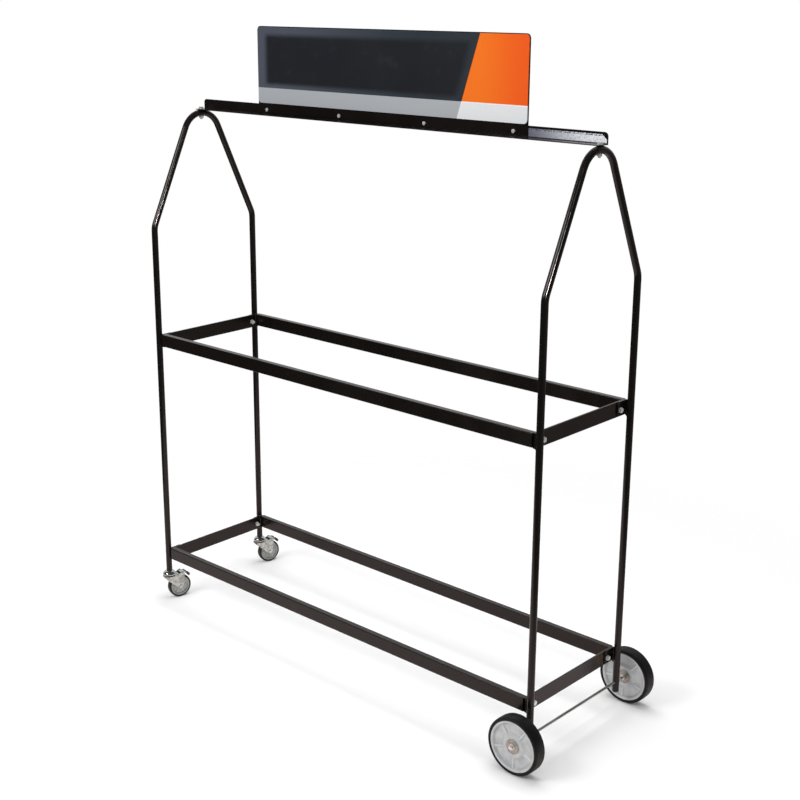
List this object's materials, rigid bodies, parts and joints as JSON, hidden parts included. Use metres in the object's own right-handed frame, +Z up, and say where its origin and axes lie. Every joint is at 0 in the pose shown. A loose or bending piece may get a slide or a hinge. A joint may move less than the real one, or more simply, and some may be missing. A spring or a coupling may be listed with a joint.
{
  "type": "mobile tyre storage rack",
  "caption": "Mobile two-tier tyre rack: bent tube end frames, rail tiers, printed sign panel on a top bar, large fixed wheels at one end and braked swivel casters at the other.",
  "frame": {"origin": "floor level, in the middle of the floor area the whole rack covers", "axes": "+X along the rails towards the end with the large wheels, +Y towards the back, +Z up"},
  "size_m": [2.071, 0.7396, 2.408],
  "materials": {
    "black_frame_paint": "gloss black enamel on steel",
    "sign_print": "satin printed panel: dark slate field, orange corner, pale grey strip; no lettering",
    "zinc_fasteners": "bright zinc plate, slightly dulled",
    "axle_steel": "zinc-plated round bar",
    "plug_plastic": "matt black",
    "hub_plastic": "moulded light grey, satin",
    "wheel_rubber": "smooth dark rubber, slightly dusty",
    "bush_plastic": "natural nylon",
    "socket_plastic": "black nylon",
    "caster_zinc": "pressed steel, bright plated",
    "bearing_steel": "polished balls",
    "rivet_steel": "plated steel",
    "caster_disc": "silver grey, satin",
    "caster_tread": "dark grey rubber",
    "pedal_steel": "plated pressing",
    "pedal_plastic": "black plastic"
  },
  "bodies": {
    "frame": {"axle_caps": "zinc_fasteners", "axle_nuts": "zinc_fasteners", "axle_rod": "axle_steel", "axle_washers": "zinc_fasteners", "left_end_frame": "black_frame_paint", "left_leg_brackets": "black_frame_paint", "lower_back_rail": "black_frame_paint", "lower_front_rail": "black_frame_paint", "lower_left_cross_bar": "black_frame_paint", "lower_right_cross_bar": "black_frame_paint", "right_end_frame": "black_frame_paint", "right_leg_brackets": "black_frame_paint", "right_leg_plugs": "plug_plastic", "sign_backing_plate": "black_frame_paint", "sign_bolts": "zinc_fasteners", "sign_nuts": "zinc_fasteners", "sign_panel": "sign_print", "tier_bolts": "zinc_fasteners", "tier_nuts": "zinc_fasteners", "tier_washers": "zinc_fasteners", "top_bar": "black_frame_paint", "top_bar_bolts": "zinc_fasteners", "top_bar_nuts": "zinc_fasteners", "top_bar_washers": "zinc_fasteners", "upper_back_rail": "black_frame_paint", "upper_front_rail": "black_frame_paint", "upper_left_cross_bar": "black_frame_paint", "upper_right_cross_bar": "black_frame_paint", "front_caster_socket": "socket_plastic", "front_caster_stem": "caster_zinc", "front_caster_balls": "bearing_steel", "back_caster_socket": "socket_plastic", "back_caster_stem": "caster_zinc", "back_caster_balls": "bearing_steel"},
    "front_wheel": {"front_wheel_hub_outer": "hub_plastic", "front_wheel_hub_inner": "hub_plastic", "front_wheel_tyre": "wheel_rubber", "front_wheel_bush": "bush_plastic"},
    "back_wheel": {"back_wheel_hub_outer": "hub_plastic", "back_wheel_hub_inner": "hub_plastic", "back_wheel_tyre": "wheel_rubber", "back_wheel_bush": "bush_plastic"},
    "front_caster_swivel": {"front_caster_fork": "caster_zinc", "front_caster_axle": "rivet_steel", "front_caster_brake_pin": "rivet_steel"},
    "front_caster_wheel": {"front_caster_wheel_core": "caster_disc", "front_caster_tread": "caster_tread", "front_caster_bush": "rivet_steel"},
    "front_caster_brake": {"front_caster_brake_pedal": "pedal_steel", "front_caster_pedal_grip": "pedal_plastic"},
    "back_caster_swivel": {"back_caster_fork": "caster_zinc", "back_caster_axle": "rivet_steel", "back_caster_brake_pin": "rivet_steel"},
    "back_caster_wheel": {"back_caster_wheel_core": "caster_disc", "back_caster_tread": "caster_tread", "back_caster_bush": "rivet_steel"},
    "back_caster_brake": {"back_caster_brake_pedal": "pedal_steel", "back_caster_pedal_grip": "pedal_plastic"}
  },
  "joints": [
    {"name": "front_wheel_spin", "type": "hinge", "parent": "frame", "child": "front_wheel", "pos_m": [0.9315, -0.335, 0.104], "axis": [0, 1, 0], "continuous": true},
    {"name": "back_wheel_spin", "type": "hinge", "parent": "frame", "child": "back_wheel", "pos_m": [0.9315, 0.335, 0.104], "axis": [0, 1, 0], "continuous": true},
    {"name": "front_caster_swivel_turn", "type": "hinge", "parent": "frame", "child": "front_caster_swivel", "pos_m": [-1.0085, -0.262, 0.104], "axis": [0, 0, 1], "continuous": true},
    {"name": "front_caster_wheel_spin", "type": "hinge", "parent": "front_caster_swivel", "child": "front_caster_wheel", "pos_m": [-0.9981, -0.22028, 0.05], "axis": [-0.9703, 0.2419, 0], "continuous": true},
    {"name": "front_caster_brake_press", "type": "hinge", "parent": "front_caster_swivel", "child": "front_caster_brake", "pos_m": [-0.99519, -0.20863, 0.1085], "axis": [-0.9703, 0.2419, 0], "range_deg": [0, 8]},
    {"name": "back_caster_swivel_turn", "type": "hinge", "parent": "frame", "child": "back_caster_swivel", "pos_m": [-1.0085, 0.262, 0.104], "axis": [0, 0, 1], "continuous": true},
    {"name": "back_caster_wheel_spin", "type": "hinge", "parent": "back_caster_swivel", "child": "back_caster_wheel", "pos_m": [-0.9981, 0.30372, 0.05], "axis": [-0.9703, 0.2419, 0], "continuous": true},
    {"name": "back_caster_brake_press", "type": "hinge", "parent": "back_caster_swivel", "child": "back_caster_brake", "pos_m": [-0.99519, 0.31537, 0.1085], "axis": [-0.9703, 0.2419, 0], "range_deg": [0, 8]}
  ]
}
